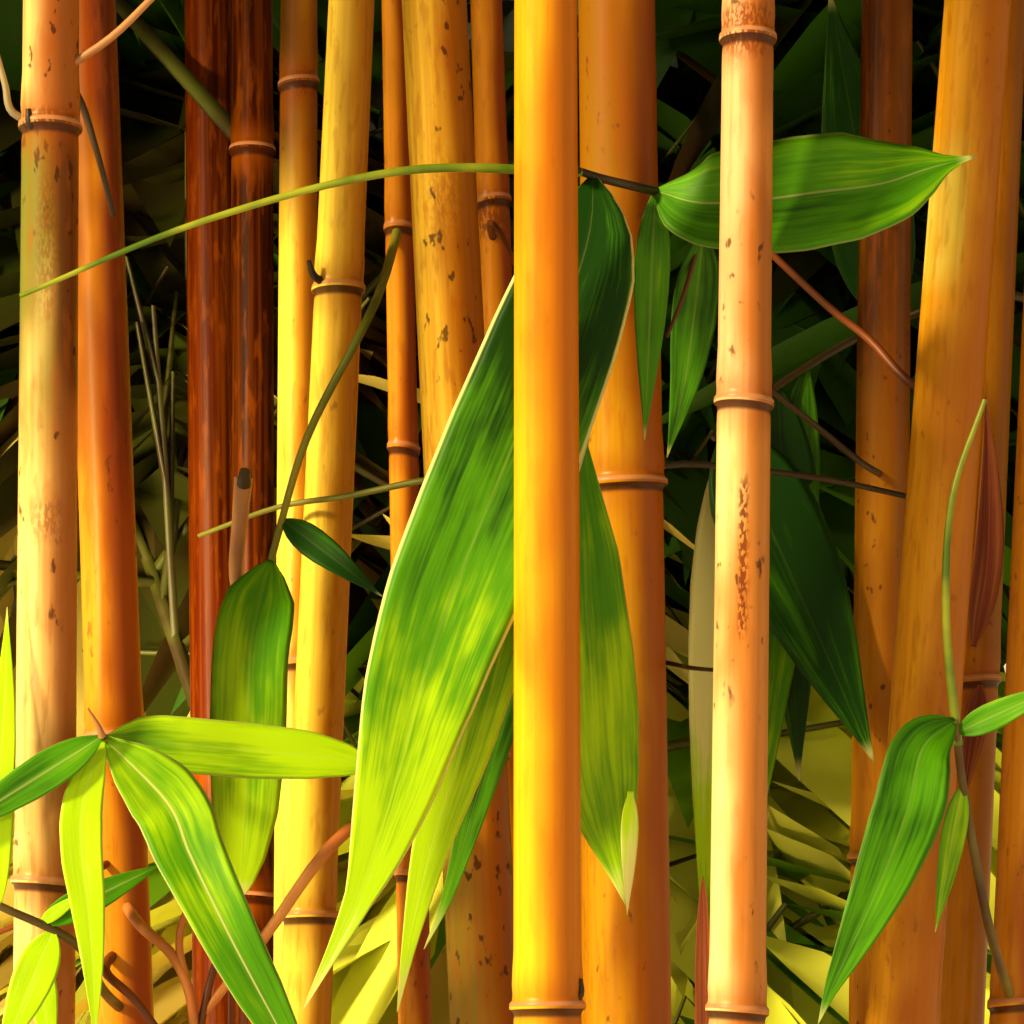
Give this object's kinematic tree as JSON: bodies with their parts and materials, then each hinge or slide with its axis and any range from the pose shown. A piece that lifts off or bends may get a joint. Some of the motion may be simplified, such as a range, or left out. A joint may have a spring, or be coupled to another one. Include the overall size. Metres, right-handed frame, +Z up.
{
  "type": "potted golden bamboo",
  "caption": "Clump of upright ringed bamboo canes with arching leafy heads and side branches, standing in soil in a plain tapering round pot with an upright rim.",
  "frame": {"origin": "centre of the pot's flat underside", "axes": "+Z up along the canes, -Y towards the side of the clump that the picture shows, +X to its right"},
  "size_m": [1.055, 0.9819, 2.0102],
  "materials": {
    "terracotta": "matte",
    "soil": "matte",
    "cane": "satin",
    "leaf": "matte"
  },
  "bodies": {
    "root": {"pot": "terracotta", "soil": "soil", "cane_01": "cane", "cane_02": "cane", "cane_03": "cane", "cane_04": "cane", "cane_05": "cane", "cane_06": "cane", "cane_07": "cane", "cane_08": "cane", "cane_09": "cane", "cane_10": "cane", "cane_11": "cane", "cane_12": "cane", "cane_13": "cane", "cane_14": "cane", "cane_15": "cane", "cane_16": "cane", "cane_17": "cane", "cane_18": "cane", "cane_19": "cane", "spray_front": "leaf", "spray_right": "leaf", "spray_left": "leaf", "spray_inner": "leaf", "spray_low": "leaf", "spray_back": "leaf", "branch_01": "leaf", "branch_02": "leaf", "branch_03": "leaf", "branch_04": "leaf", "branch_05": "leaf", "branch_06": "leaf", "branch_07": "leaf", "branch_08": "leaf", "branch_09": "leaf", "branch_10": "leaf", "branch_11": "leaf", "branch_12": "leaf", "branch_13": "leaf", "branch_14": "leaf", "head_01": "leaf", "head_02": "leaf", "head_03": "leaf", "head_04": "leaf", "head_05": "leaf", "head_06": "leaf", "head_07": "leaf", "head_08": "leaf", "head_09": "leaf", "head_10": "leaf", "head_11": "leaf", "head_12": "leaf", "head_13": "leaf", "head_14": "leaf", "head_15": "leaf", "head_16": "leaf", "head_17": "leaf", "head_18": "leaf", "head_19": "leaf"}
  },
  "joints": []
}
